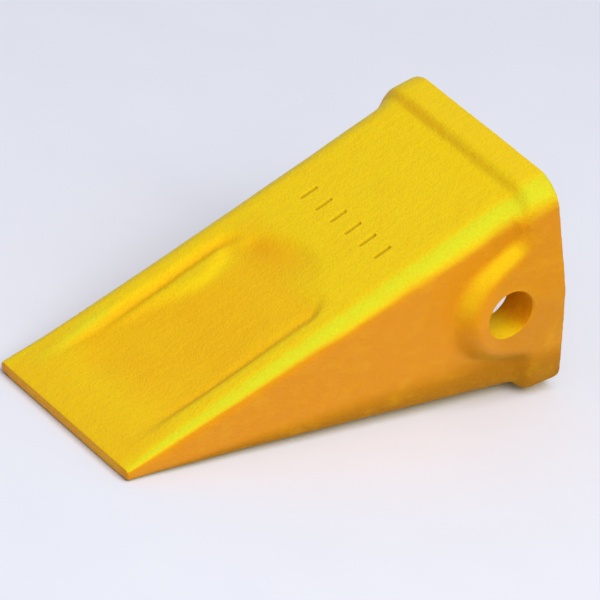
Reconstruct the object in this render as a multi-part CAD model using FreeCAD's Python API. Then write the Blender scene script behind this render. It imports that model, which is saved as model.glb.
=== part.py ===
"""Excavator bucket tooth: the hollow wedge casting, its lock pin and its retainer ring.

Millimetres. Every piece is drawn on the tooth's centreline: X runs from the rear plane (0) to the
cutting edge, Y along the pin, Z up. Each piece is then moved so that the origin is the middle of the
pin axis, and pitched nose down until the rear lip and the cutting edge rest on one level surface.
"""

import FreeCAD, Part
import math
import os

Vector = FreeCAD.Vector

# Casting, outside
LENGTH = 400.0               # rear plane to cutting edge
REAR_WIDTH = 178.4           # wedge body just ahead of the rear lip
REAR_HEIGHT = 175.0
TIP_WIDTH = 167.9
TIP_THICKNESS = 8.8
BODY_START = 38.0            # where the rear lip has run out into the body
FACE_SAG = 1.2               # hollow of the top and bottom faces at mid length
SIDE_SAG = 0.8               # hollow of the sides at mid length
REAR_CORNER = 18.0           # radius of the long edges at the rear and at the tip
TIP_CORNER = 3.2
CORNER_FADE = 0.45           # how slowly the long edges' radius shrinks towards the tip
BODY_STATIONS = 5
ROOT_START = 4.0             # where the wedge body begins inside the rear lip

# Rear lip
LIP_TOP_WIDTH = 185.0
LIP_BOTTOM_WIDTH = 190.0
LIP_HEIGHT = 197.0
LIP_WAIST = 209.0            # width at mid height, where the sides peak
LIP_LENGTH = 30.0
LIP_RUNOUT = 12.0
BROW_DROP = 1.8              # how much lower the lip is at its front than at the rear plane
LIP_LEAN = 0.015             # the lip's front stands this much further forward per mm of height
LIP_TOP_CORNER = 26.0
LIP_BOTTOM_CORNER = 14.0
LIP_WAIST_RADIUS = 160.0
LIP_BOTTOM_EASE = 8.0        # most that the lower corners' radius shrinks where the lip is drawn in
LIP_ROOT_INSET = 13.0        # how far the lip's run-out ends inside the sides, and below the faces
LIP_ROOT_SINK = 3.0
RIM_ROUND = 1.5              # bevel of the lip's outer edge at the rear plane

# Pads round the pin bores: half of each pad's outline, as (X, Z) corners with their radii
PAD_FACE = [(0.0, 60.0, 1.0), (42.0, 49.0, 55.0), (84.0, 25.0, 18.0)]
PAD_ROOT_Y = 80.0
PAD_SLOPE = 0.62             # spread of the pad's sloped edge per mm of its height
PAD_SPREAD_UP = 0.8          # share of that spread above and below the pad
PAD_PAST_WAIST = 1.0         # the pad is drawn this far past the waist before it is crowned

# Pin bore
BORE_X = 52.8
BORE_RADIUS = 21.0
BORE_OVERRUN = 10.0          # how far the bore's cutter reaches past the waist

# Nose socket
SOCKET_MOUTH = (146.0, 160.0)
SOCKET_FRONT = (112.0, 45.0)
SOCKET_PARALLEL = 100.0      # depth over which the socket's sides stay parallel
SOCKET_TAPER_END = 165.0
SOCKET_DEPTH = 188.0
SOCKET_CORNER = 12.0
SOCKET_OVERRUN = 10.0        # how far the socket's cutter reaches behind the rear plane
SOCKET_END_DROP = 4.0        # height lost between the end of the taper and the socket's bottom

# Shallow panel in the top and bottom faces, between two rails
PANEL_REAR_X = 163.0
PANEL_HALF_WIDTH = 50.0
PANEL_DEPTH = 5.0
PANEL_RAMP = 34.0
PANEL_FADE_X = 392.0
PANEL_CORNER_SHARE = 0.7     # radius of the panel's rear corners, as a share of its half width
PANEL_FRONT_CORNER = 1.0
PANEL_OVERRUN = 6.0          # how far the panel's cutter reaches above the face and past its sides

# Lock pin
PIN_RADIUS = 20.5
PIN_LENGTH = 172.0
PIN_CHAMFER = 5.0
PIN_DRAWN = 47.0             # how far the pin stands drawn out towards -Y
GROOVE_RADIUS = 18.0
GROOVE_FROM_MIDDLE = 64.0
GROOVE_SLACK = 0.3

# Retainer ring
RING_THICKNESS = 10.0
RING_OUTER_RADIUS = 30.0
RING_GAP = 9.0
RING_CHAMFER = 1.5


def rounded_wire(corners, radii):
    """Closed wire through a flat polygon's corners, each one rounded to its own radius."""
    starts = []
    arcs = []
    count = len(corners)
    for i in range(count):
        corner = corners[i]
        back = (corners[i - 1] - corner).normalize()
        ahead = (corners[(i + 1) % count] - corner).normalize()
        half = back.getAngle(ahead) / 2.0
        reach = radii[i] / math.tan(half)
        middle = (back + ahead).normalize() * (radii[i] / math.sin(half) - radii[i])
        first = corner + back * reach
        last = corner + ahead * reach
        starts.append(first)
        arcs.append(Part.Arc(first, corner + middle, last))
    edges = []
    for i in range(count):
        edges.append(arcs[i].toShape())
        following = starts[(i + 1) % count]
        edges.append(Part.LineSegment(arcs[i].EndPoint, following).toShape())
    return Part.Wire(edges)


def box_section(x, width, height, radius):
    """Rounded rectangle across the centreline at station x."""
    y = width / 2.0
    z = height / 2.0
    corners = [Vector(x, -y, z), Vector(x, y, z), Vector(x, y, -z), Vector(x, -y, -z)]
    return rounded_wire(corners, [radius] * 4)


def lip_section(x, inset, face_inset=None, lean=0.0):
    """Six-cornered outline of the rear lip, drawn in by inset at the sides and face_inset above and below."""
    z = LIP_HEIGHT / 2.0 - (inset if face_inset is None else face_inset)
    top_y = LIP_TOP_WIDTH / 2.0 - inset
    bottom_y = LIP_BOTTOM_WIDTH / 2.0 - inset
    waist_y = LIP_WAIST / 2.0 - inset
    ahead = lean * z
    corners = [
        Vector(x + ahead, -top_y, z),
        Vector(x + ahead, top_y, z),
        Vector(x, waist_y, 0),
        Vector(x - ahead, bottom_y, -z),
        Vector(x - ahead, -bottom_y, -z),
        Vector(x, -waist_y, 0),
    ]
    top = LIP_TOP_CORNER - inset
    bottom = LIP_BOTTOM_CORNER - min(inset, LIP_BOTTOM_EASE)
    radii = [top, top, LIP_WAIST_RADIUS, bottom, bottom, LIP_WAIST_RADIUS]
    return rounded_wire(corners, radii)


def bow(s):
    """0 at both ends of the body and 1 at mid length."""
    return 4.0 * s * (1.0 - s)


def body_height(x):
    """Full height of the wedge body at station x."""
    s = (x - BODY_START) / (LENGTH - BODY_START)
    straight = REAR_HEIGHT + (TIP_THICKNESS - REAR_HEIGHT) * s
    return straight - 2.0 * FACE_SAG * bow(s)


def body_width(x):
    """Full width of the wedge body at station x."""
    s = (x - BODY_START) / (LENGTH - BODY_START)
    straight = REAR_WIDTH + (TIP_WIDTH - REAR_WIDTH) * s
    return straight - 2.0 * SIDE_SAG * bow(s)


def wedge_body():
    """Solid wedge from inside the lip to the cutting edge."""
    wires = []
    for i in range(BODY_STATIONS):
        s = i / (BODY_STATIONS - 1.0)
        x = BODY_START + (LENGTH - BODY_START) * s
        radius = TIP_CORNER + (REAR_CORNER - TIP_CORNER) * (1.0 - s) ** CORNER_FADE
        wires.append(box_section(x, body_width(x), body_height(x), radius))
    wedge = Part.makeLoft(wires, True, False)
    root = Part.makeLoft([box_section(ROOT_START, REAR_WIDTH, REAR_HEIGHT, REAR_CORNER), wires[0]], True, True)
    return wedge.fuse(root)


def rear_lip():
    """Collar round the socket's mouth, run out to the body at its front."""
    runout_x = LIP_LENGTH + LIP_RUNOUT
    sink = (LIP_HEIGHT - REAR_HEIGHT) / 2.0 + LIP_ROOT_SINK
    brow = lip_section(LIP_LENGTH, 0.0, BROW_DROP, LIP_LEAN)
    collar = Part.makeLoft([lip_section(RIM_ROUND, 0.0), brow], True, True)
    bevel = Part.makeLoft([lip_section(0.0, RIM_ROUND), lip_section(RIM_ROUND, 0.0)], True, True)
    runout = Part.makeLoft([brow, lip_section(runout_x, LIP_ROOT_INSET, sink, LIP_LEAN)], True, True)
    return collar.fuse([bevel, runout])


def pad_outline(y, grow):
    """Outline of a bore pad at distance y from the middle, larger all round by grow."""
    upper = [(x + (grow if x > 0.0 else RIM_ROUND), z + grow * PAD_SPREAD_UP, r) for x, z, r in PAD_FACE]
    lower = [(x, -z, r) for x, z, r in reversed(upper)]
    corners = [Vector(x, y, z) for x, z, r in upper + lower]
    return rounded_wire(corners, [r for x, z, r in upper + lower])


def bore_pads():
    """Raised tongue round each end of the pin bore: sloped edges, and a face crowned like the lip's sides."""
    crown = Part.Face(lip_section(RIM_ROUND, 0.0)).extrude(Vector(2.0 * PAD_FACE[-1][0], 0, 0))
    pads = []
    for side in (1.0, -1.0):
        root = pad_outline(side * PAD_ROOT_Y, PAD_SLOPE * (LIP_WAIST / 2.0 - PAD_ROOT_Y))
        face = pad_outline(side * (LIP_WAIST / 2.0 + PAD_PAST_WAIST), -PAD_SLOPE * PAD_PAST_WAIST)
        pads.append(Part.makeLoft([root, face], True, True).common(crown))
    return pads


def nose_socket():
    """Tapered hollow that goes over the adapter's nose."""
    width, height = SOCKET_MOUTH
    front_width, front_height = SOCKET_FRONT
    slope = (height - front_height) / SOCKET_TAPER_END

    def height_at(x):
        return height - slope * x

    middle = [
        box_section(-SOCKET_OVERRUN, width, height_at(-SOCKET_OVERRUN), SOCKET_CORNER),
        box_section(SOCKET_PARALLEL, width, height_at(SOCKET_PARALLEL), SOCKET_CORNER),
    ]
    taper = (width - front_width) / (SOCKET_DEPTH - SOCKET_PARALLEL)
    taper_width = width - taper * (SOCKET_TAPER_END - SOCKET_PARALLEL)
    deep = [
        box_section(SOCKET_PARALLEL, width, height_at(SOCKET_PARALLEL), SOCKET_CORNER),
        box_section(SOCKET_TAPER_END, taper_width, front_height, SOCKET_CORNER),
    ]
    front = [
        box_section(SOCKET_TAPER_END, taper_width, front_height, SOCKET_CORNER),
        box_section(SOCKET_DEPTH, front_width, front_height - SOCKET_END_DROP, SOCKET_CORNER),
    ]
    spans = [Part.makeLoft(wires, True, True) for wires in (middle, deep, front)]
    return spans[0].fuse(spans[1:])


def pin_bore():
    """Straight hole through both pads."""
    reach = LIP_WAIST / 2.0 + BORE_OVERRUN
    return Part.makeCylinder(BORE_RADIUS, 2.0 * reach, Vector(BORE_X, -reach, 0), Vector(0, 1, 0))


def panel_recess():
    """Shallow pocket in the top face: a round rear end, a ramp down, and a fade out at the tip."""
    def face(x):
        return body_height(x) / 2.0

    ramp_x = PANEL_REAR_X + PANEL_RAMP
    middle_x = (ramp_x + PANEL_FADE_X) / 2.0
    profile = [
        Vector(PANEL_REAR_X, 0, face(PANEL_REAR_X)),
        Vector(ramp_x, 0, face(ramp_x) - PANEL_DEPTH),
        Vector(middle_x, 0, face(middle_x) - PANEL_DEPTH),
        Vector(PANEL_FADE_X, 0, face(PANEL_FADE_X)),
        Vector(PANEL_FADE_X, 0, face(PANEL_FADE_X) + PANEL_OVERRUN),
        Vector(PANEL_REAR_X, 0, face(PANEL_REAR_X) + PANEL_OVERRUN),
    ]
    half = PANEL_HALF_WIDTH
    side = Part.Face(Part.makePolygon(profile + [profile[0]]))
    side.translate(Vector(0, -half - PANEL_OVERRUN, 0))
    wedge = side.extrude(Vector(0, 2.0 * (half + PANEL_OVERRUN), 0))
    corners = [
        Vector(PANEL_REAR_X, -half, 0),
        Vector(LENGTH, -half, 0),
        Vector(LENGTH, half, 0),
        Vector(PANEL_REAR_X, half, 0),
    ]
    rear = half * PANEL_CORNER_SHARE
    outline = Part.Face(rounded_wire(corners, [rear, PANEL_FRONT_CORNER, PANEL_FRONT_CORNER, rear]))
    return outline.extrude(Vector(0, 0, REAR_HEIGHT)).common(wedge)


def tooth_casting():
    """The whole casting, as one solid."""
    outside = wedge_body().fuse([rear_lip()] + bore_pads()).removeSplitter()
    upper = panel_recess()
    lower = upper.mirror(Vector(0, 0, 0), Vector(0, 0, 1))
    return outside.cut([nose_socket(), pin_bore(), upper, lower]).removeSplitter()


def turned(profile, y_offset):
    """Solid of revolution about the pin axis from (distance along Y, radius) points."""
    points = [Vector(BORE_X + radius, y + y_offset, 0) for y, radius in profile]
    face = Part.Face(Part.makePolygon(points + [points[0]]))
    return face.revolve(Vector(BORE_X, 0, 0), Vector(0, 1, 0), 360.0)


def lock_pin():
    """Round pin with chamfered ends and the retainer's groove near its leading end."""
    half = PIN_LENGTH / 2.0
    groove = RING_THICKNESS / 2.0 + GROOVE_SLACK
    profile = [
        (-half, 0.0),
        (-half, PIN_RADIUS - PIN_CHAMFER),
        (-half + PIN_CHAMFER, PIN_RADIUS),
        (GROOVE_FROM_MIDDLE - groove, PIN_RADIUS),
        (GROOVE_FROM_MIDDLE - groove, GROOVE_RADIUS),
        (GROOVE_FROM_MIDDLE + groove, GROOVE_RADIUS),
        (GROOVE_FROM_MIDDLE + groove, PIN_RADIUS),
        (half - PIN_CHAMFER, PIN_RADIUS),
        (half, PIN_RADIUS - PIN_CHAMFER),
        (half, 0.0),
    ]
    return turned(profile, -PIN_DRAWN)


def retainer_ring():
    """Split ring that sits in the pin's groove, with its gap uppermost."""
    half = RING_THICKNESS / 2.0
    inner = GROOVE_RADIUS + GROOVE_SLACK
    profile = [
        (-half, inner),
        (-half, RING_OUTER_RADIUS - RING_CHAMFER),
        (-half + RING_CHAMFER, RING_OUTER_RADIUS),
        (half - RING_CHAMFER, RING_OUTER_RADIUS),
        (half, RING_OUTER_RADIUS - RING_CHAMFER),
        (half, inner),
    ]
    y = GROOVE_FROM_MIDDLE - PIN_DRAWN
    ring = turned(profile, y)
    corner = Vector(BORE_X - RING_GAP / 2.0, y - RING_THICKNESS, 0)
    slot = Part.makeBox(RING_GAP, 2.0 * RING_THICKNESS, 2.0 * RING_OUTER_RADIUS, corner)
    # The gap is turned by the pitch, so that it faces straight up once the tooth lies nose down.
    slot.rotate(Vector(BORE_X, 0, 0), Vector(0, 1, 0), -pitch())
    return ring.cut(slot)


def pitch():
    """Degrees between the centreline and the line from the lip's lowest front edge to the tip's."""
    lip_z = LIP_HEIGHT / 2.0 - BROW_DROP
    lip_x = LIP_LENGTH - LIP_LEAN * lip_z
    return math.degrees(math.atan2(lip_z - TIP_THICKNESS / 2.0, LENGTH - lip_x))


def lay_down(shape):
    """Move a piece from the centreline frame to the resting frame with its origin on the pin axis."""
    shape.translate(Vector(-BORE_X, 0, 0))
    shape.rotate(Vector(0, 0, 0), Vector(0, 1, 0), pitch())
    return shape


def main():
    os.makedirs("parts", exist_ok=True)
    pieces = {
        "tooth_casting": tooth_casting(),
        "lock_pin": lock_pin(),
        "retainer_ring": retainer_ring(),
    }
    for name, shape in pieces.items():
        solid = lay_down(shape)
        box = solid.BoundBox
        print(name, len(solid.Solids), solid.isValid(), round(solid.Volume / 1000.0, 1), "cm3",
              [round(v, 2) for v in (box.XMin, box.XMax, box.YMin, box.YMax, box.ZMin, box.ZMax)])
        solid.exportStep("parts/" + name + ".step")
    print("pitch", round(pitch(), 3))


main()
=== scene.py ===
"""Looks of the excavator bucket tooth: the painted casting, the lock pin and the retainer ring.

Metres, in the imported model's frame: origin at the middle of the pin axis, +X level towards the cutting
edge, +Y along the pin, +Z up. The casting's shape is worked out on its own centreline, in millimetres,
with X from the rear plane to the cutting edge, and then laid down into the frame.
"""

import math

import bmesh
import bpy
import numpy as np
from mathutils import Matrix, Vector, noise


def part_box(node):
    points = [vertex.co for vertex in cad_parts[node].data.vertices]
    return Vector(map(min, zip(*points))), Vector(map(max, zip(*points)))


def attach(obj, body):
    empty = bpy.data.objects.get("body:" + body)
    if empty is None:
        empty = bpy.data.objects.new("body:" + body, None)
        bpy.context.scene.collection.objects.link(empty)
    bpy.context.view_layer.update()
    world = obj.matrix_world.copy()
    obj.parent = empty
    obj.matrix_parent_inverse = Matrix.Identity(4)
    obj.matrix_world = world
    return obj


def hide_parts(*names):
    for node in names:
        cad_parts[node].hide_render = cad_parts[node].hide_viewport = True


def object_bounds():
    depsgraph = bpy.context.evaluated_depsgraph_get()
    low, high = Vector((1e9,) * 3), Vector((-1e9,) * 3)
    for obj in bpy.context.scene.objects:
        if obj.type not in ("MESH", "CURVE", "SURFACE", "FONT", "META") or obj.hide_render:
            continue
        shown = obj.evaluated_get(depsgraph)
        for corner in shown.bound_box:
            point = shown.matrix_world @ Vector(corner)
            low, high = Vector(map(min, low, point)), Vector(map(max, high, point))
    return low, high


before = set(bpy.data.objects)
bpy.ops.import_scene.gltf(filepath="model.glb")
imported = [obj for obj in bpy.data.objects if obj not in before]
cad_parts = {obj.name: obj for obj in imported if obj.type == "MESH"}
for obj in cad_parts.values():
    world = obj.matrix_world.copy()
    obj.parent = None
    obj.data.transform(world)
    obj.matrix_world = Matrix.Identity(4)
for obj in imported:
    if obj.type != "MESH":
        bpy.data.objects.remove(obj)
CAD_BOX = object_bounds()

# Casting, in millimetres on its centreline
LENGTH = 400.0
BORE_X = 52.8
BORE_RADIUS = 21.0
BODY_START = 38.0
BEHIND_START = -0.2           # the wedge's slope runs on behind BODY_START to this share of its length
REAR_HALF = (89.6, 87.7)      # half width and half height of the wedge at BODY_START
TIP_HALF = (84.8, 4.9)
SIDE_SAG = 0.2
FACE_SAG = 0.6
REAR_CORNER = 20.0
TIP_CORNER = 3.0
CORNER_MOST = 0.72            # largest rounding, as a share of the section's half height
CORNER_FADE = 0.42            # how slowly the long edges' rounding shrinks towards the cutting edge
LOW_EDGE_SHARE = 0.75         # the lower long edges are this much tighter
LIP_TOP_HALF = 94.5
LIP_BOTTOM_HALF = 95.5
LIP_WAIST_HALF = 105.0
WAIST_SOFT = 64.0
LIP_HALF_HEIGHT = 98.5
LIP_BOTTOM_TRIM = 1.2         # the lip's underside stands in by this much more than its top
BROW_DROP = 1.8               # how much lower the lip is at its front than at the rear plane
BROW_RUN_ON = 1.3             # and it goes on dropping ahead of its front, up to this much of it
LIP_TOP_LENGTH = 21.5         # where the lip's front step begins on the top face, below, and at the sides
LIP_BOTTOM_LENGTH = 27.5
LIP_SIDE_LENGTH = 27.0
LIP_RUNOUT = 11.0             # run of that step on the faces, and on the sides
LIP_SIDE_RUNOUT = 15.0
LIP_TOP_CORNER = 26.0
LIP_BOTTOM_CORNER = 17.0
RIM_ROUND = 1.2
TIP_ROUND = 1.2
PAINT_FILM = 0.3
SOCKET = [(-12.0, 73.0, 84.2), (100.0, 73.0, 45.15), (165.0, 60.4, 22.5), (188.0, 56.0, 20.5)]
SOCKET_CORNER = 12.0
BORE_MOUTH = 103.2            # the bore's cutter is straight up to here, off the middle, and then flares
BORE_FLARE = (104.4, 22.4)
BORE_TOOL_END = (112.0, 26.0)

# Pads round the pin bore: an upper edge and a slanting edge, each as a point and a direction off it
PAD_TOP = 61.0
PAD_TOP_NORMAL = (0.217, 0.976)
PAD_SLANT_POINT = (45.0, 51.0)
PAD_SLANT_NORMAL = (0.512, 0.859)
PAD_FRONT = 89.0
PAD_BEND = 14.0               # softness of the bend between those edges, and of the front one
PAD_FRONT_BEND = 24.0
PAD_START = -6.0
PAD_WALL = 17.0               # run of the pad's sloped edge

# Panel and rails pressed into the faces. A span is (start, run), along X unless it says otherwise.
RAIL_WALL = 64.5              # the rail's inner wall, off the middle
RAIL_HOOK = 9.0               # its rear end bends inwards by this much
RAIL_HOOK_SPAN = (186.0, 26.0)
RAIL_FLARE = 1.5              # and its front end leans outwards
RAIL_FLARE_SPAN = (330.0, 50.0)
RAIL_RISE = (186.0, 24.0)
RAIL_FADE = (318.0, 74.0)
WALL_SPAN = (-8.0, 10.0)      # the wall's slope, across from its top
RIDGE_HEIGHT = 3.5            # low ridge between the wall and the panel's floor
RIDGE_RISE = (196.0, 26.0)
RIDGE_FADE = (306.0, 40.0)
RIDGE_FOOT = 61.0
RIDGE_SWELLS = [(24.0, 246.0, 40.0), (7.0, 303.0, 24.0)]   # reach inwards, X, and half length
RIDGE_TOP = (5.5, 9.0)        # spans across, from the wall and from the ridge's foot
RIDGE_SLOPE = (-8.0, 15.0)
RIDGE_CALM = 0.12             # share of the ridge that the +Y rail keeps
CALM_SPAN = (-8.0, 20.0)      # across, towards -Y
FLOOR_DEPTH = 4.0
FLOOR_EXTRA = 1.6             # the floor is this much deeper at its front
FLOOR_SPAN = (215.0, 90.0)
BOWL_BACK = 163.0             # the panel's round rear end, and how far its sides sweep forward
BOWL_SWEEP = 24.0
BOWL_HALF = 48.0
BOWL_POWER = 2.2
BOWL_DEPTH = 3.6
BOWL_RAMP = 17.0
BOWL_FADE = (205.0, 26.0)
BOWL_EDGE = (40.0, 14.0)      # across, off the middle
BOWL_CALM = 0.85              # how much shallower it gets towards +Y
BOWL_CALM_SPAN = (-4.0, 44.0)
VALLEY_DEPTH = 0.8            # groove at the foot of the wall
VALLEY_GAP = 6.5
VALLEY_HALF = 4.4
RELIEF_SOFT = 1.2
RELIEF_LOSS = 0.3
DENTS = [(0.6, 100.0, -22.0, 18.0, 16.0), (1.1, 351.0, -26.0, 12.0, 17.0),
         (0.8, 193.0, -37.0, 9.0, 8.0)]     # depth, X, Y, and half sizes

# Unevenness of the cast skin: height in mm, waves per mm, and offset in the noise
SKIN_WIDE = (0.30, 0.022, (3.1, 7.7, 1.3))
SKIN_FINE = (0.07, 0.16, (9.2, 0.4, 5.5))
RELAX = (0.5, 3)

# Generic foundry marks: a row of plain slots sunk in the top face
SLOT_X = 134.0
SLOT_HALF_LENGTH = 6.5
SLOT_HALF_WIDTH = 1.5
SLOT_DEPTH = 1.3
SLOT_PITCH = 19.0
SLOT_COUNT = 6
SLOT_FLOOR = 0.4              # share of a slot's half width that is flat
SLOT_MARGIN = 3.0             # the mesh is refined this far round the slots
SLOT_REACH = 4.0
TOP_ABOVE = 55.0              # at the slots, the top face is higher than this and the rest is lower

# Where the paint's tones change, in mm on the centreline and as shares. A span is (start, run). Most of
# these tones are painted shade and painted highlights.
FACE_SKIN = 12.0              # a point no further than this under a face counts as the face
CORE = 2.0                    # and it is at least this far from the centreline
PANEL_AHEAD = (150.0, 30.0)
PANEL_FULL = 5.0              # relief at which the panel's tone is full
TIP_TONE = 0.55
TIP_TONE_AHEAD = (325.0, 55.0)
TIP_TONE_ACROSS = (-80.0, 12.0)
LOW_DOWN = (0.32, 0.6)        # painted shade on the lower sides: down from mid height, as a share of the half height
LOW_ACROSS = (64.0, 16.0)
LOW_FACING = (0.72, 0.26)
# painted shade on the sides of the lip and pads, near the rear plane
REAR_TONE = 0.3
REAR_BACK = (-82.0, 30.0)
SIDE_FACING = 0.8
SIDE_FROM = 80.0
# painted highlight, lemon, along the long edges between the top face and the sides
EDGE_FACING = ((0.08, 0.36), (0.36, 0.38))     # sideways, and upwards
EDGE_FROM = 66.0
EDGE_UP = (0.70, 0.15)
EDGE_FAR_SHARE = 0.15         # the -Y edge has this share of the +Y edge's painted highlight
EDGE_ACROSS = (0.0, 40.0)
# painted highlight along the crest of the -Y rail
RAIL_TONE = 0.75
RAIL_LINE = (-64.0, 7.0)
RAIL_TONE_SPAN = (298.0, 28.0)
RAIL_TONE_END = (374.0, 20.0)
# painted highlight on the pads' upper sloped wall and painted shade at their foot, weaker on the -Y pad
PAD_FAR_SHARE = 0.3
PAD_TONE_AHEAD = (26.0, 14.0)
PAD_TONE_UP = 25.0
PAD_TONE_DOWN = 40.0
# painted shade: the lower half of the sides and the underside take less of the yellow
ZONE_DOWN = (-0.9, 0.3)
ZONE_FROM = 60.0
# painted highlight on the -Y ridge of the top face, which takes the gold out there
RIDGE_TONE = (234.0, -40.0, 30.0, 9.0)         # X, Y and half sizes
RIDGE_TONE_SHARE = 0.9
# painted shade in the panel's round rear end, on the top face
BOWL_SHADE_HILL = (191.0, -26.0, 15.0, 27.0)

# Lock pin and retainer ring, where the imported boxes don't give the size
PIN_CHAMFER = 5.0
PIN_GROOVE = 18.0             # radius at the groove's bottom, and the ring's clearance in it
GROOVE_SLACK = 0.3
CENTRE_HOLE = [(2.4, 0.05), (0.2, 3.2)]     # depth and radius of the turning centres
PIN_ROUND = 0.9
RING_ROUND = 1.4
CORNER_CUT = 0.45             # a rounded corner takes at most this share of the edges beside it
RING_HALF_GAP = 4.5
BORE_STEPS = 96               # points round the bore and the pin, and sections along the ring
PIN_STEPS = 112
RING_STEPS = 120

# Points across one face, one corner and one side of a section
FACE_STEPS = 110
CORNER_STEPS = 16
SIDE_STEPS = 100
VOXEL = 2.1
SHELL_STEP = (1.2, 2.2)       # distance between sections on the lip and pads, and ahead of them
FINE_UNTIL = 48.0
ROUND_STEPS = (6, 4)          # sections in the rounding at the rim, and at the cutting edge
SHARP_EDGE = 38.0             # degrees between faces that stay crisp

# The centreline dips by this much when the lip's front edge and the cutting edge lie level.
LIP_LOW = LIP_HALF_HEIGHT - BROW_DROP
LIP_FRONT = 28.55             # lowest point of the lip's front edge
EDGE_HALF = 4.4               # half of the cutting edge's bare thickness
PITCH = math.atan2(LIP_LOW - EDGE_HALF, LENGTH - LIP_FRONT)
MM = 0.001


def smooth(t):
    """0 to 1 with level ends."""
    t = np.clip(t, 0.0, 1.0)
    return t * t * (3.0 - 2.0 * t)


def soft_max(a, b, k):
    """Largest of two values, rounded over a width k."""
    h = np.clip(0.5 + 0.5 * (a - b) / k, 0.0, 1.0)
    return b + (a - b) * h + k * h * (1.0 - h)


def rise(value, span):
    """0 up to the span's start and 1 past its end, for a span of (start, run)."""
    start, run = span
    return smooth((value - start) / run)


def swell(value, middle, half):
    """1 at the middle, falling off on both sides."""
    return np.exp(-((value - middle) / half) ** 2)


def hill(x, y, cx, cy, rx, ry):
    """Round hill of height 1 at (cx, cy)."""
    return np.exp(-((x - cx) / rx) ** 2 - ((y - cy) / ry) ** 2)


def blend(a, b, share):
    return a + (b - a) * share


def along(x):
    return min(max((x - BODY_START) / (LENGTH - BODY_START), BEHIND_START), 1.0)


def body_half(x, axis, sag):
    s = along(x)
    s_in = max(s, 0.0)
    return REAR_HALF[axis] + (TIP_HALF[axis] - REAR_HALF[axis]) * s - sag * 4.0 * s_in * (1.0 - s_in)


def lip_share(x, length, runout):
    """1 on the rear lip, 0 on the body, with a soft step between."""
    return 1.0 - smooth((x - length) / runout)


def pad_share(x, z):
    """1 on the pad round the pin bore, 0 off it, with a sloped edge."""
    a = np.abs(z)
    upper = (a - PAD_TOP) * PAD_TOP_NORMAL[1] + x * PAD_TOP_NORMAL[0]
    slant = (x - PAD_SLANT_POINT[0]) * PAD_SLANT_NORMAL[0] + (a - PAD_SLANT_POINT[1]) * PAD_SLANT_NORMAL[1]
    d = soft_max(soft_max(upper, slant, PAD_BEND), x - PAD_FRONT, PAD_FRONT_BEND)
    return 1.0 - rise(d, (PAD_START, PAD_WALL))


def face_relief(x, y):
    """Panel and rails pressed into a face, in mm below the plain face; y is signed across the face."""
    a = np.abs(y)
    calm = blend(RIDGE_CALM, 1.0, rise(-y, CALM_SPAN))
    hook = RAIL_HOOK * (1.0 - rise(x, RAIL_HOOK_SPAN))
    wall = RAIL_WALL - hook + RAIL_FLARE * rise(x, RAIL_FLARE_SPAN)
    reach = rise(x, RAIL_RISE) * (1.0 - rise(x, RAIL_FADE))
    inside = 1.0 - rise(a - wall, WALL_SPAN)

    foot = RIDGE_FOOT
    for inwards, middle, half in RIDGE_SWELLS:
        foot = foot - inwards * swell(x, middle, half)
    long_way = rise(x, RIDGE_RISE) * (1.0 - rise(x, RIDGE_FADE))
    crest = rise(wall - a, RIDGE_TOP) * rise(a - foot, RIDGE_SLOPE)
    ridge = RIDGE_HEIGHT * calm * long_way * crest
    floor_depth = (FLOOR_DEPTH + FLOOR_EXTRA * rise(x, FLOOR_SPAN)) * reach

    back = BOWL_BACK + BOWL_SWEEP * (a / BOWL_HALF) ** BOWL_POWER
    bowl = BOWL_DEPTH * rise(x, (back, BOWL_RAMP)) * (1.0 - rise(x, BOWL_FADE))
    bowl = bowl * (1.0 - rise(a, BOWL_EDGE)) * (1.0 - BOWL_CALM * rise(y, BOWL_CALM_SPAN))
    valley = VALLEY_DEPTH * reach * swell(a - wall, -VALLEY_GAP, VALLEY_HALF)
    relief = np.maximum(floor_depth * inside - ridge, 0.0) + valley
    relief = soft_max(relief, bowl, RELIEF_SOFT) - RELIEF_LOSS
    dents = sum(depth * hill(x, y, *place) for depth, *place in DENTS)
    return np.maximum(relief, 0.0) + dents


def fillet(corner, toward_a, toward_b, radius):
    """Arc of points that rounds a corner between two directions."""
    corner = np.array(corner)
    a = np.array(toward_a) / np.linalg.norm(toward_a)
    b = np.array(toward_b) / np.linalg.norm(toward_b)
    half = 0.5 * math.acos(float(a @ b))
    centre = corner + (a + b) / np.linalg.norm(a + b) * radius / math.sin(half)
    start = corner + a * radius / math.tan(half) - centre
    end = corner + b * radius / math.tan(half) - centre
    sweep = math.pi - 2.0 * half
    t = np.linspace(0.0, 1.0, CORNER_STEPS)[:, None]
    return centre + (np.sin((1.0 - t) * sweep) * start + np.sin(t * sweep) * end) / math.sin(sweep)


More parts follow.
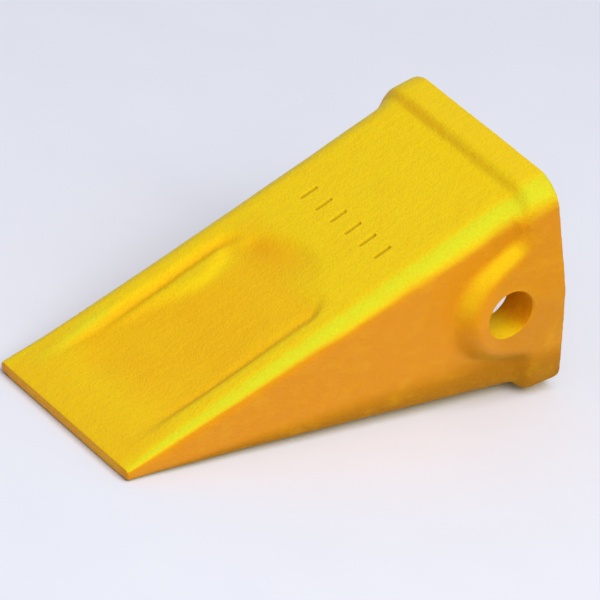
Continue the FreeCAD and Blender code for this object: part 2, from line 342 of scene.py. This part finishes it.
def shell_section(x, inset):
    """One closed outline of the casting across the centreline, as an array of points."""
    plain_y = body_half(x, 0, SIDE_SAG)
    plain_z = body_half(x, 1, FACE_SAG)
    lip_z = LIP_HALF_HEIGHT - BROW_DROP * min(x / LIP_FRONT, BROW_RUN_ON)
    on_side = lip_share(x, LIP_SIDE_LENGTH, LIP_SIDE_RUNOUT)
    waist = blend(plain_y, LIP_WAIST_HALF, on_side) - inset
    s = max(along(x), 0.0)
    round_off = TIP_CORNER + (REAR_CORNER - TIP_CORNER) * (1.0 - s) ** CORNER_FADE
    halves = []
    for length, trim, lip_y, lip_corner, edge_share in (
            (LIP_TOP_LENGTH, 0.0, LIP_TOP_HALF, LIP_TOP_CORNER, 1.0),
            (LIP_BOTTOM_LENGTH, LIP_BOTTOM_TRIM, LIP_BOTTOM_HALF, LIP_BOTTOM_CORNER, LOW_EDGE_SHARE)):
        z = blend(plain_z, lip_z - trim, lip_share(x, length, LIP_RUNOUT)) - inset
        y = blend(plain_y, lip_y, on_side) - inset
        radius = min(blend(round_off * edge_share, lip_corner, on_side), z * CORNER_MOST)
        halves.append((y, z, radius))
    (y_top, z_top, r_top), (y_low, z_low, r_low) = halves
    slope_top = (waist - y_top) / z_top
    slope_low = (waist - y_low) / z_low
    upper = fillet((y_top, z_top), (-1.0, 0.0), (slope_top, -1.0), r_top)
    lower = fillet((y_low, -z_low), (slope_low, 1.0), (-1.0, 0.0), r_low)

    z = np.linspace(upper[-1][1], lower[0][1], SIDE_STEPS)[1:-1]
    slope = np.where(z > 0.0, slope_top, slope_low)
    side = waist - slope * np.sqrt(z * z + WAIST_SOFT)
    lip_half = np.where(z > 0.0, LIP_TOP_HALF, LIP_BOTTOM_HALF)
    lip_slope = (LIP_WAIST_HALF - lip_half) / LIP_HALF_HEIGHT
    pad = LIP_WAIST_HALF - lip_slope * np.sqrt(z * z + WAIST_SOFT) - inset
    side = blend(side, np.maximum(pad, side), pad_share(x, z))

    top_y = np.linspace(-upper[0][0], upper[0][0], FACE_STEPS)[1:-1]
    low_y = np.linspace(lower[-1][0], -lower[-1][0], FACE_STEPS)[1:-1]
    top = np.stack([top_y, z_top - face_relief(x, top_y)], 1)
    low = np.stack([low_y, -z_low + face_relief(x, -low_y)], 1)
    right = np.concatenate([upper, np.stack([side, z], 1), lower])
    left = right[::-1] * np.array([-1.0, 1.0])
    loop = np.concatenate([top, right, low, left])
    return np.concatenate([np.full((len(loop), 1), x), loop], 1)


def loft_mesh(name, loops):
    """Closed mesh through equal loops of points, capped at both ends."""
    mesh = bpy.data.meshes.new(name)
    n = len(loops[0])
    verts = np.concatenate(loops)
    faces = []
    for k in range(len(loops) - 1):
        a = k * n
        for i in range(n):
            j = (i + 1) % n
            faces.append((a + i, a + j, a + n + j, a + n + i))
    faces.append(tuple(reversed(range(n))))
    faces.append(tuple(range(len(verts) - n, len(verts))))
    mesh.from_pydata(verts.tolist(), [], faces)
    mesh.update()
    bm = bmesh.new()
    bm.from_mesh(mesh)
    bmesh.ops.recalc_face_normals(bm, faces=bm.faces)
    bm.to_mesh(mesh)
    bm.free()
    thing = bpy.data.objects.new(name, mesh)
    bpy.context.scene.collection.objects.link(thing)
    return thing


def outer_shell():
    """The casting's outside, without its hollows."""
    stations = []
    for k in range(ROUND_STEPS[0]):
        angle = math.pi / 2.0 * k / ROUND_STEPS[0]
        stations.append((RIM_ROUND * (1.0 - math.cos(angle)), RIM_ROUND * (1.0 - math.sin(angle))))
    xs = [RIM_ROUND]
    while xs[-1] < LENGTH - TIP_ROUND - SHELL_STEP[0]:
        xs.append(xs[-1] + SHELL_STEP[0 if xs[-1] < FINE_UNTIL else 1])
    stations += [(x, 0.0) for x in xs]
    for k in range(1, ROUND_STEPS[1] + 1):
        angle = math.pi / 2.0 * k / ROUND_STEPS[1]
        x = LENGTH - TIP_ROUND + TIP_ROUND * math.sin(angle)
        stations.append((x, TIP_ROUND * (1.0 - math.cos(angle))))
    return loft_mesh("shell", [shell_section(x, inset) for x, inset in stations])


def rounded_box_loop(x, half_y, half_z, radius):
    turn = np.linspace(0.0, math.pi / 2.0, 8)
    points = []
    for sy, sz, start in ((1, 1, 0.0), (-1, 1, 0.5), (-1, -1, 1.0), (1, -1, 1.5)):
        angle = start * math.pi + turn
        points.append(np.stack([
            sy * (half_y - radius) + radius * np.cos(angle),
            sz * (half_z - radius) + radius * np.sin(angle)], 1))
    loop = np.concatenate(points)
    return np.concatenate([np.full((len(loop), 1), x), loop], 1)


def socket_tool():
    return loft_mesh("socket_tool", [rounded_box_loop(x, y, z, SOCKET_CORNER) for x, y, z in SOCKET])


def turned_mesh(name, profile, steps, middle_x=0.0):
    """Solid of revolution about an axis along Y from (y, radius) points in mm."""
    turn = np.linspace(0.0, 2.0 * math.pi, steps, endpoint=False)
    loops = []
    for y, r in profile:
        loops.append(np.stack([middle_x + r * np.cos(turn), np.full_like(turn, y), r * np.sin(turn)], 1))
    return loft_mesh(name, loops)


def bore_tool():
    """Round bar as long as the casting is wide, with a slight flare at the outer mouths."""
    half = [(BORE_MOUTH, BORE_RADIUS), BORE_FLARE, BORE_TOOL_END]
    return turned_mesh("bore_tool", [(-y, r) for y, r in reversed(half)] + half, BORE_STEPS, BORE_X)


def carve(thing, tool):
    """Boolean difference, applied."""
    cut = thing.modifiers.new("cut", "BOOLEAN")
    cut.operation = "DIFFERENCE"
    cut.object = tool
    cut.solver = "EXACT"
    apply_modifiers(thing)
    bpy.data.objects.remove(tool)


def apply_modifiers(thing):
    graph = bpy.context.evaluated_depsgraph_get()
    mesh = bpy.data.meshes.new_from_object(thing.evaluated_get(graph))
    old = thing.data
    thing.modifiers.clear()
    thing.data = mesh
    bpy.data.meshes.remove(old)


def remesh(thing, size):
    """Even skin of small faces, drawn back onto the exact surface."""
    exact = thing.copy()
    exact.data = thing.data.copy()
    bpy.context.scene.collection.objects.link(exact)
    even = thing.modifiers.new("even", "REMESH")
    even.mode = "VOXEL"
    even.voxel_size = size
    even.use_smooth_shade = True
    snug = thing.modifiers.new("snug", "SHRINKWRAP")
    snug.wrap_method = "NEAREST_SURFACEPOINT"
    snug.target = exact
    apply_modifiers(thing)
    bpy.data.objects.remove(exact)


def soften(thing, factor, times):
    relax = thing.modifiers.new("relax", "SMOOTH")
    relax.factor = factor
    relax.iterations = times
    apply_modifiers(thing)


def lay_down(thing):
    """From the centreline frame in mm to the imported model's frame in metres."""
    to_axis = Matrix.Translation((-BORE_X, 0.0, 0.0))
    turn = Matrix.Rotation(PITCH, 4, "Y")
    thing.data.transform(Matrix.Scale(MM, 4) @ turn @ to_axis)


def cast_skin(thing):
    """Slight unevenness of a sand casting, as geometry, and the paint film's thickness."""
    mesh = thing.data
    mesh.update()
    moves = []
    for v in mesh.vertices:
        height = PAINT_FILM
        for size, waves, offset in (SKIN_WIDE, SKIN_FINE):
            height += size * noise.noise(v.co * waves + Vector(offset))
        moves.append(v.normal * height)
    for v, move in zip(mesh.vertices, moves):
        v.co += move


def mark_sharp(mesh, degrees):
    """Keeps machined edges crisp under smooth shading."""
    bm = bmesh.new()
    bm.from_mesh(mesh)
    limit = math.radians(degrees)
    for edge in bm.edges:
        if len(edge.link_faces) == 2 and edge.calc_face_angle() > limit:
            edge.smooth = False
    bm.to_mesh(mesh)
    bm.free()


def note_tones(thing):
    """Stores the paint's tones on the vertices, from 0 to 1 each. Most of them are painted shade and
    painted highlights.
    """
    mesh = thing.data
    count = len(mesh.vertices)
    points = np.empty(count * 3)
    mesh.vertices.foreach_get("co", points)
    x, y, z = points.reshape(-1, 3).T
    normals = np.empty(count * 3)
    mesh.vertex_normals.foreach_get("vector", normals)
    ny, nz = np.abs(normals.reshape(-1, 3).T[1:])
    across = np.abs(y)
    top = z > 0.0
    half = np.interp(x, [0.0, BODY_START, LENGTH], [LIP_HALF_HEIGHT, REAR_HALF[1], TIP_HALF[1]])
    level = z / half
    outside = np.abs(z) > np.interp(x, [BODY_START, LENGTH], [REAR_HALF[1], TIP_HALF[1]]) - FACE_SKIN

    depth = face_relief(x, np.where(top, y, -y)) * rise(x, PANEL_AHEAD) * outside * (np.abs(z) > CORE)
    tip = TIP_TONE * rise(x, TIP_TONE_AHEAD) * rise(-across, TIP_TONE_ACROSS) * outside
    # painted highlight on the -Y ridge takes the gold out of the floor's tone
    ridge = RIDGE_TONE_SHARE * hill(x, y, *RIDGE_TONE) * top

    # painted shade on the lower sides, and on the sides near the rear plane
    low = rise(-level, LOW_DOWN) * rise(across, LOW_ACROSS) * (1.0 - rise(nz, LOW_FACING))
    rear = REAR_TONE * rise(-x, REAR_BACK) * (ny > SIDE_FACING) * (across > SIDE_FROM)

    # painted highlight along the long edges, mostly the +Y one, and on the -Y rail's crest
    edge = rise(ny, EDGE_FACING[0]) * rise(nz, EDGE_FACING[1]) * (across > EDGE_FROM)
    edge = edge * rise(level, EDGE_UP) * blend(EDGE_FAR_SHARE, 1.0, rise(y, EDGE_ACROSS))
    rail = swell(y, *RAIL_LINE) * rise(x, RAIL_TONE_SPAN) * (1.0 - rise(x, RAIL_TONE_END))

    # painted highlight on the pad's upper sloped wall and painted shade at its foot
    pad = pad_share(x, z)
    wall = 4.0 * pad * (1.0 - pad) * (across > SIDE_FROM) * rise(x, PAD_TONE_AHEAD)
    wall = wall * blend(PAD_FAR_SHARE, 1.0, y > 0.0)

    tones = {
        # painted shade: less yellow on the lower sides and the underside
        "side_zone_shade": np.maximum(rise(-level, ZONE_DOWN) * (across > ZONE_FROM), z < 0.0),
        "low_side_shade": np.maximum(low, rear),
        "long_edge_highlight": np.maximum(edge, RAIL_TONE * rail * outside * top),
        "pad_wall_highlight": wall * smooth(z / PAD_TONE_UP),
        "pad_foot_shade": wall * smooth(-z / PAD_TONE_DOWN),
        # painted shade in the panel's round rear end
        "bowl_shade": hill(x, y, *BOWL_SHADE_HILL) * outside * top,
        "floor_tone": np.clip(np.maximum(depth / PANEL_FULL, tip) - ridge, 0.0, 1.0),
        # painted shade in the sunk marks
        "mark_shade": mark_share(x, y) * (z > TOP_ABOVE),
    }
    for name, values in tones.items():
        mesh.attributes.new(name, "FLOAT", "POINT").data.foreach_set("value", values.astype(np.float32))


def make_casting():
    shell = outer_shell()
    carve(shell, socket_tool())
    shell.name = "tooth_casting_skin"
    remesh(shell, VOXEL)
    soften(shell, *RELAX)
    cast_skin(shell)
    refine_marks(shell)
    carve(shell, bore_tool())
    note_tones(shell)
    lay_down(shell)
    shell.data.shade_smooth()
    mark_sharp(shell.data, SHARP_EDGE)
    return shell


def mark_share(x, y):
    """1 in the marks, 0 beside them."""
    reach_y = SLOT_PITCH * (SLOT_COUNT - 1) / 2.0
    nearest = np.clip(np.round((y + reach_y) / SLOT_PITCH), 0, SLOT_COUNT - 1) * SLOT_PITCH - reach_y
    past = np.maximum(0.0, np.abs(x - SLOT_X) - SLOT_HALF_LENGTH)
    away = np.hypot(y - nearest, past)
    return 1.0 - rise(away, (SLOT_HALF_WIDTH * SLOT_FLOOR, SLOT_HALF_WIDTH))


def refine_marks(thing):
    """Refines the top face round the marks, then sinks them."""
    reach_y = SLOT_PITCH * (SLOT_COUNT - 1) / 2.0
    bm = bmesh.new()
    bm.from_mesh(thing.data)
    near = []
    for face in bm.faces:
        middle = face.calc_center_median()
        past_slot = (middle.y + reach_y + SLOT_PITCH / 2.0) % SLOT_PITCH - SLOT_PITCH / 2.0
        if (abs(middle.x - SLOT_X) < SLOT_HALF_LENGTH + SLOT_MARGIN
                and abs(middle.y) < reach_y + SLOT_MARGIN
                and middle.z > TOP_ABOVE and abs(past_slot) < SLOT_REACH):
            near.append(face)
    edges = list({edge for face in near for edge in face.edges})
    bmesh.ops.subdivide_edges(bm, edges=edges, cuts=3, use_grid_fill=True)
    for v in bm.verts:
        if v.co.z > TOP_ABOVE:
            v.co.z -= SLOT_DEPTH * float(mark_share(v.co.x, v.co.y))
    bm.to_mesh(thing.data)
    bm.free()


def rounded_profile(corners, radius, steps=5):
    """Open line of (y, r) points with each inner corner rounded."""
    points = [corners[0]]
    for before, at, after in zip(corners, corners[1:], corners[2:]):
        p = Vector(at)
        back = Vector(before) - p
        ahead = Vector(after) - p
        cut = min(radius, back.length * CORNER_CUT, ahead.length * CORNER_CUT)
        start = p + back.normalized() * cut
        end = p + ahead.normalized() * cut
        for k in range(steps + 1):
            t = k / steps
            points.append(tuple(start * (1 - t) ** 2 + p * 2 * t * (1 - t) + end * t ** 2))
    points.append(corners[-1])
    return points


def make_pin():
    """Lock pin: chamfered ends with turning centres, and the ring's groove."""
    low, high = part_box("lock_pin")
    ring_low, ring_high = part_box("retainer_ring")
    y0, y1 = low.y / MM, high.y / MM
    g0, g1 = ring_low.y / MM - GROOVE_SLACK, ring_high.y / MM + GROOVE_SLACK
    r = (high.x - low.x) / 2.0 / MM
    near_end = [(y0 + inwards, radius) for inwards, radius in CENTRE_HOLE]
    far_end = [(y1 - inwards, radius) for inwards, radius in reversed(CENTRE_HOLE)]
    outline = near_end + [
        (y0, r - PIN_CHAMFER), (y0 + PIN_CHAMFER, r), (g0, r), (g0, PIN_GROOVE),
        (g1, PIN_GROOVE), (g1, r), (y1 - PIN_CHAMFER, r), (y1, r - PIN_CHAMFER),
    ] + far_end
    pin = turned_mesh("lock_pin_turned", rounded_profile(outline, PIN_ROUND), PIN_STEPS)
    pin.data.transform(Matrix.Scale(MM, 4))
    return pin


def make_ring():
    """Retainer ring: a split band with rounded corners, its gap uppermost."""
    low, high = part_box("retainer_ring")
    y0, y1 = low.y / MM, high.y / MM
    middle = (y0 + y1) / 2.0
    inner = PIN_GROOVE + GROOVE_SLACK
    outer = (high.x - low.x) / 2.0 / MM
    corners = [(middle, inner), (y1, inner), (y1, outer), (y0, outer), (y0, inner), (middle, inner)]
    section = rounded_profile(corners, RING_ROUND)[:-1]
    gap = math.asin(RING_HALF_GAP / outer)
    loops = []
    for angle in np.linspace(math.pi / 2.0 + gap, math.pi * 2.5 - gap, RING_STEPS):
        loops.append(np.array([[r * math.cos(angle), y, r * math.sin(angle)] for y, r in section]))
    ring = loft_mesh("retainer_ring_sprung", loops)
    ring.data.transform(Matrix.Scale(MM, 4))
    return ring


class Shader:
    """Small helper that adds nodes to one material."""

    def __init__(self, name):
        self.material = bpy.data.materials.new(name)
        self.material.use_nodes = True
        self.tree = self.material.node_tree
        self.base = self.tree.nodes["Principled BSDF"]
        self.place = self.node("ShaderNodeTexCoord").outputs["Object"]

    def node(self, kind):
        return self.tree.nodes.new(kind)

    def link(self, a, b):
        self.tree.links.new(a, b)

    def noise(self, scale, detail=3.0, roughness=0.5, stretch=None):
        texture = self.node("ShaderNodeTexNoise")
        texture.inputs["Scale"].default_value = scale
        texture.inputs["Detail"].default_value = detail
        texture.inputs["Roughness"].default_value = roughness
        place = self.place
        if stretch:
            mapping = self.node("ShaderNodeMapping")
            mapping.inputs["Scale"].default_value = stretch
            self.link(place, mapping.inputs["Vector"])
            place = mapping.outputs["Vector"]
        self.link(place, texture.inputs["Vector"])
        return texture.outputs["Fac"]

    def vertex_value(self, name):
        stored = self.node("ShaderNodeAttribute")
        stored.attribute_name = name
        return stored.outputs["Fac"]

    def span(self, value, low, high, out_low=0.0, out_high=1.0):
        ramp = self.node("ShaderNodeMapRange")
        ramp.interpolation_type = "SMOOTHSTEP"
        limits = {"From Min": low, "From Max": high, "To Min": out_low, "To Max": out_high}
        for name, number in limits.items():
            ramp.inputs[name].default_value = number
        self.link(value, ramp.inputs["Value"])
        return ramp.outputs["Result"]

    def mix(self, share, a, b):
        mixer = self.node("ShaderNodeMix")
        mixer.data_type = "RGBA"
        for socket, value in ((mixer.inputs[0], share), (mixer.inputs[6], a), (mixer.inputs[7], b)):
            if isinstance(value, (int, float)):
                socket.default_value = value
            elif isinstance(value, tuple):
                socket.default_value = (*value, 1.0)
            else:
                self.link(value, socket)
        return mixer.outputs[2]

    def math(self, kind, a, b):
        step = self.node("ShaderNodeMath")
        step.operation = kind
        for socket, value in zip(step.inputs, (a, b)):
            if isinstance(value, (int, float)):
                socket.default_value = value
            else:
                self.link(value, socket)
        return step.outputs[0]

    def bump(self, height, distance, strength, below=None):
        relief = self.node("ShaderNodeBump")
        relief.inputs["Distance"].default_value = distance
        relief.inputs["Strength"].default_value = strength
        self.link(height, relief.inputs["Height"])
        if below is not None:
            self.link(below, relief.inputs["Normal"])
        return relief.outputs["Normal"]


# Paint colours. Orange and shade also serve as painted shade, dark as painted shade in the marks and
# crevices, lemon as a painted highlight.
PAINT_YELLOW = (0.93, 0.655, 0.006)
PAINT_GOLD = (0.93, 0.49, 0.006)
PAINT_LEMON_HIGHLIGHT = (0.68, 0.72, 0.02)
PAINT_ORANGE = (0.80, 0.285, 0.004)
PAINT_SHADE = (0.36, 0.14, 0.006)
PAINT_DARK = (0.28, 0.12, 0.006)
PAINT_GLOSS = 0.42
PAINT_GLOSS_TINT = (0.75, 1.0, 0.08, 1.0)
# Strengths of the painted highlights and painted shades
TONE_SHARES = {"pad_wall_highlight": 0.5, "pad_foot_shade": 0.55, "long_edge_highlight": 0.85, "bowl_shade": 0.4, "mark_shade": 0.48}

# Noises in the paint: scale, detail and roughness, and the streaks' stretch
CLOUD = (8.0, 4.0, 0.55)
PATCH = (44.0, 3.0, 0.6)
SATIN = (130.0, 4.0, 0.6)
GRAIN = (600.0, 4.0, 0.7)
STREAKS = (210.0, 4.0, 0.65, (0.18, 1.0, 0.5))
WAVES = (70.0, 2.0, 0.5)

# Ramps in the paint: input from and to, and what comes out at each
CLOUD_SWING = (0.3, 0.7, -0.12, 0.12)
# ZONE_LIFT and YELLOW_FACING set the painted shade that turns the sides orange
ZONE_LIFT = (0.0, 1.0, 0.3, 0.0)
YELLOW_FACING = (0.38, 0.98)
LOW_SHARE = (0.0, 1.0, 0.0, 0.8)
FLOOR_CLOUD = (0.25, 0.65, 0.55, 1.0)
PATCH_SHARE = (0.5, 0.75, 0.0, 0.22)
GRAIN_SHARE = (0.40, 0.72, 0.0, 0.26)
STREAK_SHARE = (0.50, 0.78, 0.0, 0.22)
CREVICE_DIRT_AND_SHADE = (0.40, 0.488, 0.26, 0.0)
SATIN_ROUGHNESS = (0.3, 0.75, 0.34, 0.5)
SHADED_ROUGHNESS = (0.0, 0.7, 0.0, 0.42)

# Bumps in the paint: height in metres, and strength
SAND_BUMP = (0.0014, 0.7)
BRUSH_BUMP = (0.0013, 0.5)
WAVE_BUMP = (0.0016, 0.25)


def paint_material():
    """Satin yellow enamel over sand-cast steel, with painted shade and painted highlights in its colour.
    """
    s = Shader("yellow_paint_on_cast_steel")

    def toned(colour, tone, tint):
        return s.mix(s.math("MULTIPLY", s.vertex_value(tone), TONE_SHARES[tone]), colour, tint)

    geometry = s.node("ShaderNodeNewGeometry")
    split = s.node("ShaderNodeSeparateXYZ")
    s.link(geometry.outputs["Normal"], split.inputs["Vector"])
    facing = s.math("ABSOLUTE", split.outputs["Z"], 0.0)
    cloud = s.noise(*CLOUD)
    low = s.vertex_value("low_side_shade")

    # painted shade: yellow where the surface faces up or down, orange on the sides, darker along the lower
    # edge
    facing_shade_and_cloud = s.math("ADD", facing, s.span(cloud, *CLOUD_SWING))
    lifted = s.math("ADD", facing_shade_and_cloud, s.span(s.vertex_value("side_zone_shade"), *ZONE_LIFT))
    colour = s.mix(s.span(lifted, *YELLOW_FACING), PAINT_ORANGE, PAINT_YELLOW)
    colour = s.mix(s.span(low, *LOW_SHARE), colour, PAINT_SHADE)
    # painted highlights on the pads' upper wall and the long edges, painted shade at the pads' foot
    colour = toned(colour, "pad_wall_highlight", PAINT_YELLOW)
    colour = toned(colour, "pad_foot_shade", PAINT_SHADE)
    colour = toned(colour, "long_edge_highlight", PAINT_LEMON_HIGHLIGHT)
    floor = s.math("MULTIPLY", s.vertex_value("floor_tone"), s.span(cloud, *FLOOR_CLOUD))
    colour = s.mix(floor, colour, PAINT_GOLD)
    # painted shade in the panel's round rear end
    colour = toned(colour, "bowl_shade", PAINT_ORANGE)

    # patches, grain and streaks over all of it
    colour = s.mix(s.span(s.noise(*PATCH), *PATCH_SHARE), colour, PAINT_GOLD)
    grain = s.noise(*GRAIN)
    colour = s.mix(s.span(grain, *GRAIN_SHARE), colour, PAINT_ORANGE)
    streaks = s.noise(*STREAKS)
    colour = s.mix(s.span(streaks, *STREAK_SHARE), colour, PAINT_GOLD)
    # painted shade in the sunk marks
    colour = toned(colour, "mark_shade", PAINT_DARK)
    # darker in the crevices, partly dirt and partly painted shade
    crevice_dirt_and_shade = s.span(geometry.outputs["Pointiness"], *CREVICE_DIRT_AND_SHADE)
    s.link(s.mix(crevice_dirt_and_shade, colour, PAINT_DARK), s.base.inputs["Base Color"])

    satin = s.span(s.noise(*SATIN), *SATIN_ROUGHNESS)
    # rougher where the colour holds painted shade, along the lower sides and at the pads' foot
    shaded_parts = s.math("MAXIMUM", low, s.vertex_value("pad_foot_shade"))
    s.link(s.math("ADD", satin, s.span(shaded_parts, *SHADED_ROUGHNESS)), s.base.inputs["Roughness"])
    s.base.inputs["Specular IOR Level"].default_value = PAINT_GLOSS
    s.base.inputs["Specular Tint"].default_value = PAINT_GLOSS_TINT
    sand = s.bump(grain, *SAND_BUMP)
    brushed = s.bump(streaks, *BRUSH_BUMP, sand)
    s.link(s.bump(s.noise(*WAVES), *WAVE_BUMP, brushed), s.base.inputs["Normal"])
    return s.material


# Steels: colour, and roughness where clean and where stained
PIN_STEEL = ((0.42, 0.40, 0.38), 0.25, 0.5)
RING_STEEL = ((0.16, 0.17, 0.19), 0.3, 0.55)
STEEL_STAIN = (38.0, 4.0, 0.6)
STEEL_LINES = (900.0, 2.0, 0.5)
LINES_ALONG_Y = (0.08, 1.0, 0.08)
LINES_ACROSS = (0.2, 0.2, 1.0)
STAIN_DARKNESS = 0.55
STAIN_SHARE = (0.42, 0.7, 0.0, 0.8)
STAIN_FROM, STAIN_TO = 0.3, 0.75
LINE_BUMP = (0.0001, 0.25)


def steel_material(name, tone, rough_low, rough_high, stretch):
    """Turned or drawn steel with an oil-dark film."""
    s = Shader(name)
    s.base.inputs["Metallic"].default_value = 1.0
    lines = s.noise(*STEEL_LINES, stretch)
    stain = s.noise(*STEEL_STAIN)
    dark = tuple(c * STAIN_DARKNESS for c in tone)
    colour = s.mix(s.span(stain, *STAIN_SHARE), tone, dark)
    s.link(colour, s.base.inputs["Base Color"])
    roughness = s.span(stain, STAIN_FROM, STAIN_TO, rough_low, rough_high)
    s.link(roughness, s.base.inputs["Roughness"])
    s.link(s.bump(lines, *LINE_BUMP), s.base.inputs["Normal"])
    return s.material


def dress(piece, material, body, node):
    piece.data.materials.clear()
    piece.data.materials.append(material)
    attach(piece, body)
    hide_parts(node)


# View: azimuth and elevation of the camera from the object, and its roll
VIEW_AZIMUTH = 137.54
VIEW_ELEVATION = 29.47
VIEW_ROLL = 11.62
VIEW_DISTANCE = 6.138
VIEW_AIM = Vector((0.1357, 0.0125, -0.0106))
VIEW_LENS = 480.0
SENSOR = 36.0

# Lights: direction from the aim point, distance, size, watts and colour
KEY = ((0.02, 0.50, 0.86), 4.5, 4.0, 186.0, (1.0, 0.98, 0.95))
FILL = ((0.6, 1.0, 0.45), 4.0, 3.0, 14.0, (1.0, 0.97, 0.93))
SKY_COLOUR = (0.90, 0.93, 1.0, 1.0)
SKY_STRENGTH = 0.42

FLOOR_HALF = 12.0
FLOOR_GAP = 0.0001            # the floor is this far under the object's lowest point
FLOOR_TONES = ((0.77, 0.79, 0.88), (0.80, 0.82, 0.90))
FLOOR_NOISE = (14.0, 3.0)
FLOOR_ROUGHNESS = 0.9
FLOOR_GLOSS = 0.1


def direction(azimuth, elevation):
    a = math.radians(azimuth)
    e = math.radians(elevation)
    return Vector((math.sin(a) * math.cos(e), -math.cos(a) * math.cos(e), math.sin(e)))


def make_camera():
    camera = bpy.data.objects.new("camera", bpy.data.cameras.new("camera"))
    bpy.context.scene.collection.objects.link(camera)
    camera.data.lens = VIEW_LENS
    camera.data.sensor_width = SENSOR
    camera.data.clip_end = 100.0
    back = direction(VIEW_AZIMUTH, VIEW_ELEVATION)
    level_up = (Vector((0, 0, 1)) - back * back.z).normalized()
    level_right = level_up.cross(back)
    roll = math.radians(VIEW_ROLL)
    up = level_up * math.cos(roll) - level_right * math.sin(roll)
    right = up.cross(back)
    turn = Matrix((right, up, back)).transposed().to_4x4()
    camera.matrix_world = Matrix.Translation(VIEW_AIM + back * VIEW_DISTANCE) @ turn
    bpy.context.scene.camera = camera


def area_light(name, toward, distance, size, watts, colour):
    """Square soft light at a distance along a direction, facing the object."""
    lamp = bpy.data.lights.new(name, "AREA")
    lamp.shape = "SQUARE"
    lamp.size = size
    lamp.energy = watts
    lamp.color = colour
    thing = bpy.data.objects.new(name, lamp)
    bpy.context.scene.collection.objects.link(thing)
    thing.location = VIEW_AIM + Vector(toward).normalized() * distance
    thing.rotation_euler = Vector(toward).to_track_quat("Z", "Y").to_euler()


def make_lights():
    area_light("key", *KEY)
    area_light("fill", *FILL)
    world = bpy.data.worlds.new("studio")
    world.use_nodes = True
    background = world.node_tree.nodes["Background"]
    background.inputs["Color"].default_value = SKY_COLOUR
    background.inputs["Strength"].default_value = SKY_STRENGTH
    bpy.context.scene.world = world
    bpy.context.scene.view_settings.view_transform = "Standard"
    bpy.context.scene.view_settings.look = "None"


def make_floor(box):
    """Plain pale floor at the object's lowest point."""
    z = min(CAD_BOX[0].z, box[0].z) - FLOOR_GAP
    mesh = bpy.data.meshes.new("floor")
    corners = [(sx * FLOOR_HALF, sy * FLOOR_HALF, z) for sx, sy in ((-1, -1), (1, -1), (1, 1), (-1, 1))]
    mesh.from_pydata(corners, [], [(0, 1, 2, 3)])
    floor = bpy.data.objects.new("floor", mesh)
    bpy.context.scene.collection.objects.link(floor)
    s = Shader("pale_floor")
    s.link(s.mix(s.noise(*FLOOR_NOISE), *FLOOR_TONES), s.base.inputs["Base Color"])
    s.base.inputs["Roughness"].default_value = FLOOR_ROUGHNESS
    s.base.inputs["Specular IOR Level"].default_value = FLOOR_GLOSS
    mesh.materials.append(s.material)


make_camera()
make_lights()
dress(make_casting(), paint_material(), "casting", "tooth_casting")
dress(make_pin(), steel_material("oiled_pin_steel", *PIN_STEEL, LINES_ALONG_Y),
      "pin", "lock_pin")
dress(make_ring(), steel_material("blued_spring_steel", *RING_STEEL, LINES_ACROSS),
      "ring", "retainer_ring")

visual_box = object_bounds()
make_floor(visual_box)
